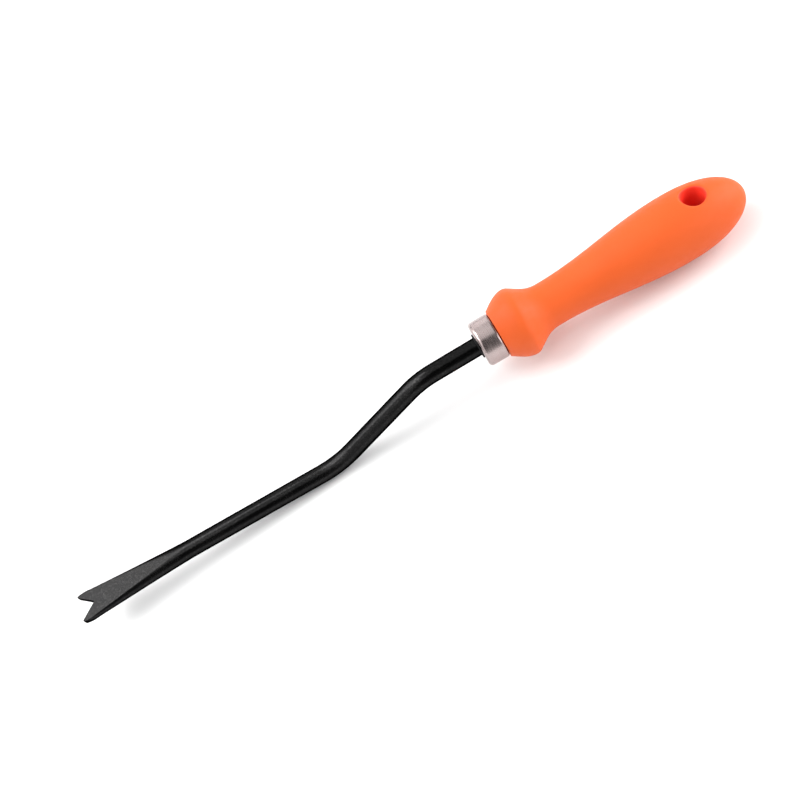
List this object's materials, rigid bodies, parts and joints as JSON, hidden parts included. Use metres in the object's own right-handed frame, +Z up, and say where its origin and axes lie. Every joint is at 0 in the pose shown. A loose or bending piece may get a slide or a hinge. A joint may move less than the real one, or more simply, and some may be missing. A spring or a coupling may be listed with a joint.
{
  "type": "hand weeder",
  "caption": "Hand weeder: a fishtail fork forged on a cranked round steel bar, a plated ferrule, and a turned-shape plastic handle with a hang hole.",
  "frame": {"origin": "centre of the bounding box's bottom, on the ground plane that the heel of the second bend and the handle's belly touch", "axes": "+X towards the handle's butt, with the fork at -X; +Z up, the crank's plane being XZ with the fork's notched flat facing up; +Y across the fork"},
  "size_m": [0.3278, 0.03, 0.0342],
  "materials": {
    "coated_steel": "satin black coating, slightly orange-peeled",
    "plating": "bright plating, soft reflections",
    "core_plastic": "matte moulded",
    "grip_plastic": "matte orange, fine moulded texture"
  },
  "bodies": {
    "root": {"fork_and_shaft": "coated_steel", "ferrule": "plating", "handle_core": "core_plastic", "handle_grip": "grip_plastic"}
  },
  "joints": []
}
